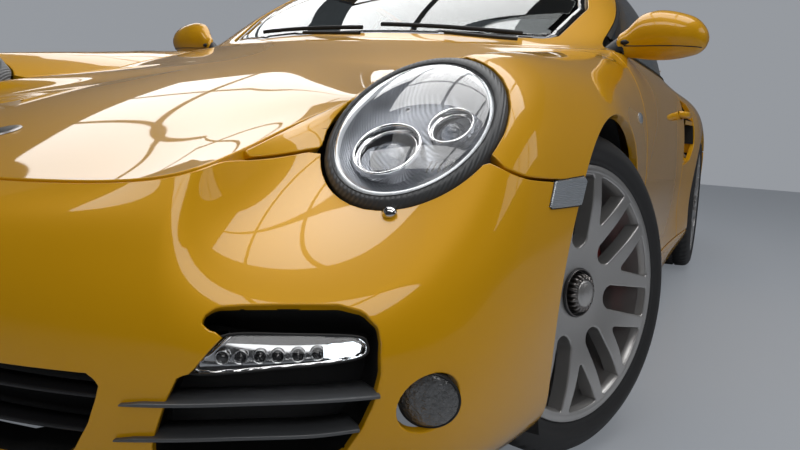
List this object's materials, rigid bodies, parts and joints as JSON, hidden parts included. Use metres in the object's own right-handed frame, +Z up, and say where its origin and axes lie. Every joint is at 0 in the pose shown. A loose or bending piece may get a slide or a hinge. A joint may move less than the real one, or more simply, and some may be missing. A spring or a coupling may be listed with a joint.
{
  "type": "coupe car",
  "caption": "Two-door rear-engined coupe car with opening doors, bonnet and engine lid, coupled steering and turning wheels.",
  "frame": {"origin": "on the floor under the middle of the car's length", "axes": "+X forward, +Y to the car's left, +Z up"},
  "size_m": [4.4499, 1.952, 1.3023],
  "materials": {
    "paint": "gloss clear coat over golden yellow",
    "trim_black": "black, fine grain",
    "window": "clear, slightly grey",
    "lamp_clear": "clear lens",
    "lamp_red": "red lens",
    "wheel_alloy": "satin silver",
    "disc_steel": "machined",
    "tread": "matt",
    "chassis_steel": "satin black",
    "engine_alloy": "cast",
    "cabin_plastic": "soft grain",
    "seat_leather": "black grained",
    "tip_steel": "polished"
  },
  "bodies": {
    "body_shell": {"dashboard": "cabin_plastic", "engine_block": "engine_alloy", "exhaust_tips": "tip_steel", "fender_left": "paint", "fender_right": "paint", "fixed_glass": "window", "floor_pan": "chassis_steel", "front_bumper": "paint", "front_lamps": "lamp_clear", "headlamps": "lamp_clear", "intake_slats": "trim_black", "luggage_tub": "chassis_steel", "quarter_left": "paint", "quarter_right": "paint", "rear_bumper": "paint", "roof_shell": "paint", "seats": "seat_leather", "sills": "paint", "steering_wheel": "cabin_plastic", "suspension": "chassis_steel", "tail_lamps": "lamp_red", "wipers": "trim_black"},
    "knuckle_left": {"knuckle_left": "chassis_steel"},
    "knuckle_right": {"knuckle_right": "chassis_steel"},
    "wheel_front_left": {"rim_front_left": "wheel_alloy", "tyre_front_left": "tread", "brake_disc_front_left": "disc_steel"},
    "wheel_front_right": {"rim_front_right": "wheel_alloy", "tyre_front_right": "tread", "brake_disc_front_right": "disc_steel"},
    "wheel_rear_left": {"rim_rear_left": "wheel_alloy", "tyre_rear_left": "tread", "brake_disc_rear_left": "disc_steel"},
    "wheel_rear_right": {"rim_rear_right": "wheel_alloy", "tyre_rear_right": "tread", "brake_disc_rear_right": "disc_steel"},
    "door_left": {"door_left": "paint", "door_glass_left": "window", "mirror_left": "paint"},
    "door_right": {"door_right": "paint", "door_glass_right": "window", "mirror_right": "paint"},
    "bonnet": {"bonnet": "paint"},
    "engine_lid": {"engine_lid": "paint", "rear_wing": "paint"}
  },
  "joints": [
    {"name": "steer_left", "type": "hinge", "parent": "body_shell", "child": "knuckle_left", "pos_m": [1.265, 0.69, 0.32386], "axis": [-0.1564, 0, 0.9877], "range_deg": [-10, 56]},
    {"name": "steer_right", "type": "hinge", "parent": "body_shell", "child": "knuckle_right", "pos_m": [1.265, -0.69, 0.32835], "axis": [-0.1564, 0, 0.9877], "range_deg": [-10, 56]},
    {"name": "wheel_front_left_spin", "type": "hinge", "parent": "knuckle_left", "child": "wheel_front_left", "pos_m": [1.28623, 0.74063, 0.32722], "axis": [0.3855, 0.9186, 0.0872], "continuous": true},
    {"name": "wheel_rear_left_spin", "type": "hinge", "parent": "body_shell", "child": "wheel_rear_left", "pos_m": [-1.085, 0.774, 0.33544], "axis": [0, 0.9997, 0.0262], "continuous": true},
    {"name": "wheel_front_right_spin", "type": "hinge", "parent": "knuckle_right", "child": "wheel_front_right", "pos_m": [1.24377, -0.74063, 0.32499], "axis": [0.3861, 0.9218, 0.035], "continuous": true},
    {"name": "wheel_rear_right_spin", "type": "hinge", "parent": "body_shell", "child": "wheel_rear_right", "pos_m": [-1.085, -0.774, 0.33544], "axis": [0, 0.9997, -0.0262], "continuous": true},
    {"name": "door_left_swing", "type": "hinge", "parent": "body_shell", "child": "door_left", "pos_m": [0.735, 0.875, 0.5], "axis": [0, 0, -1], "range_deg": [0, 65]},
    {"name": "door_right_swing", "type": "hinge", "parent": "body_shell", "child": "door_right", "pos_m": [0.735, -0.875, 0.5], "axis": [0, 0, 1], "range_deg": [0, 65]},
    {"name": "bonnet_hinge", "type": "hinge", "parent": "body_shell", "child": "bonnet", "pos_m": [0.866, 0, 0.864], "axis": [0, -1, 0], "range_deg": [0, 60]},
    {"name": "engine_lid_hinge", "type": "hinge", "parent": "body_shell", "child": "engine_lid", "pos_m": [-1.466, 0, 0.96], "axis": [0, 1, 0], "range_deg": [0, 55]}
  ],
  "couplings": [
    {"joint": "steer_right", "follows": "steer_left", "ratio": 1}
  ]
}
